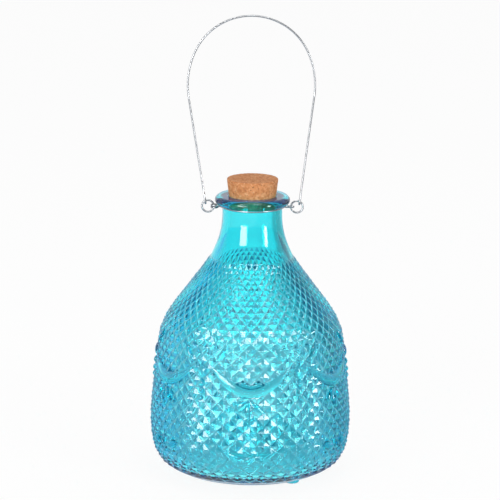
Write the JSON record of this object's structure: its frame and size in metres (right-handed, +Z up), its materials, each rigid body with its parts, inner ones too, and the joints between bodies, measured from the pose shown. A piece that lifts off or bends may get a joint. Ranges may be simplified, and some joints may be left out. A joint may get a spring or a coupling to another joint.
{
  "type": "hanging glass wasp trap",
  "caption": "Bell-shaped pressed-glass bottle with a funnel in its base, a tapered cork, a wire collar with link rings and a wire bail to hang it by.",
  "frame": {"origin": "on the bottle's axis, level with the undersides of the feet", "axes": "+Z up along the bottle's axis, X from link ring to link ring, -Y towards the front"},
  "size_m": [0.14, 0.14, 0.319],
  "materials": {
    "pressed_glass": "fire-polished pressed glass, turquoise in the mass",
    "cork": "agglomerated cork, sanded",
    "steel_wire": "bright drawn wire"
  },
  "bodies": {
    "bottle": {"glass_bottle": "pressed_glass"},
    "cork": {"cork_stopper": "cork"},
    "collar": {"neck_wire": "steel_wire"},
    "ring_left": {"link_ring_left": "steel_wire"},
    "ring_right": {"link_ring_right": "steel_wire"},
    "bail": {"bail_wire": "steel_wire"}
  },
  "joints": [
    {"name": "cork_pull", "type": "slide", "parent": "bottle", "child": "cork", "axis": [0, 0, 1], "range_m": [0, 0.04]},
    {"name": "collar_turn", "type": "hinge", "parent": "bottle", "child": "collar", "pos_m": [0, 0, 0.18735], "axis": [0, 0, 1], "continuous": true},
    {"name": "ring_left_lean", "type": "hinge", "parent": "collar", "child": "ring_left", "pos_m": [-0.026, 0, 0.18735], "axis": [1, 0, 0], "range_deg": [-20, 20]},
    {"name": "ring_right_lean", "type": "hinge", "parent": "collar", "child": "ring_right", "pos_m": [0.026, 0, 0.18735], "axis": [1, 0, 0], "range_deg": [-20, 20]},
    {"name": "bail_swing", "type": "hinge", "parent": "ring_left", "child": "bail", "pos_m": [-0.03225, 0, 0.19098], "axis": [1, 0, 0], "range_deg": [-115, 115]}
  ],
  "couplings": [
    {"joint": "ring_right_lean", "follows": "ring_left_lean", "ratio": 1}
  ]
}
